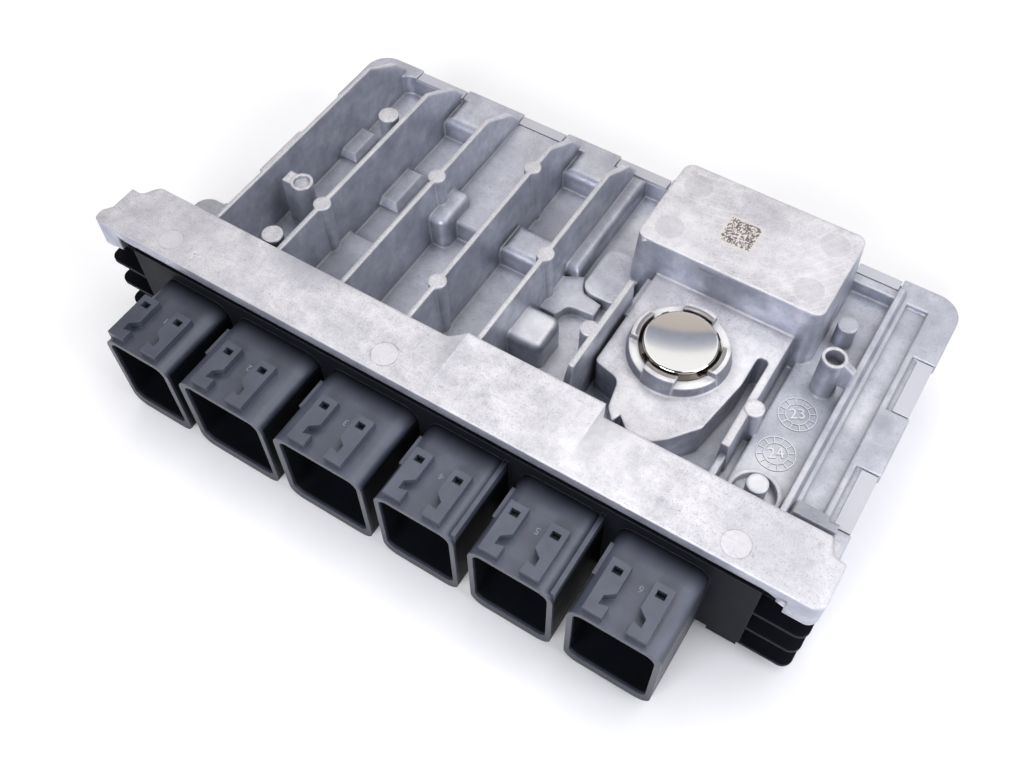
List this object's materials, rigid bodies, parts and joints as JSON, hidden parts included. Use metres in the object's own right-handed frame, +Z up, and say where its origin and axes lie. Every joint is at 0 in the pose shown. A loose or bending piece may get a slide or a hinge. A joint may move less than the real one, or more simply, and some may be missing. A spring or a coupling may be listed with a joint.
{
  "type": "engine control unit",
  "caption": "Sealed engine control unit: finned die-cast cover with raised block and round vent, sheet tray below, and a plastic header with a row of rectangular connector shrouds.",
  "frame": {"origin": "centre of the footprint, on the underside of the tray", "axes": "+X along the row of connectors, from connector 1 to connector 6; -Y the way the connector mouths face; +Z up, out of the cover's fins"},
  "size_m": [0.235, 0.1458, 0.0475],
  "materials": {
    "cast_aluminium": "as-cast, satin",
    "header_plastic": "fine satin",
    "sheet_aluminium": "rolled, satin",
    "sealing_bead": "matt",
    "board": "solder mask",
    "screw_steel": "zinc plated",
    "chip_body": "matt",
    "ferrite": "sintered, matt",
    "ceramic_body": "matt",
    "can_metal": "plated",
    "capacitor_can": "bare can",
    "gap_pad": "soft, matt",
    "vent_steel": "polished",
    "clip_steel": "dark, worn",
    "membrane": "matt film",
    "terminal_copper": "tin plated"
  },
  "bodies": {
    "root": {"base_tray": "sheet_aluminium", "board_screws": "screw_steel", "boost_inductors": "ferrite", "ceramic_capacitors": "ceramic_body", "circuit_board": "board", "clock_crystal": "can_metal", "connector_header": "header_plastic", "cover_seal": "sealing_bead", "driver_chips": "chip_body", "driver_transistors": "chip_body", "header_seal": "sealing_bead", "housing_cover": "cast_aluminium", "input_diodes": "chip_body", "memory_chip": "chip_body", "microcontroller": "chip_body", "pressure_sensor": "can_metal", "shunt_resistors": "ceramic_body", "storage_capacitors": "capacitor_can", "supply_chip": "chip_body", "terminals_1": "terminal_copper", "terminals_2": "terminal_copper", "terminals_3": "terminal_copper", "terminals_4": "terminal_copper", "terminals_5": "terminal_copper", "terminals_6": "terminal_copper", "thermal_pads": "gap_pad", "vent_cap": "vent_steel", "vent_clip_ring": "clip_steel", "vent_membrane": "membrane"}
  },
  "joints": []
}
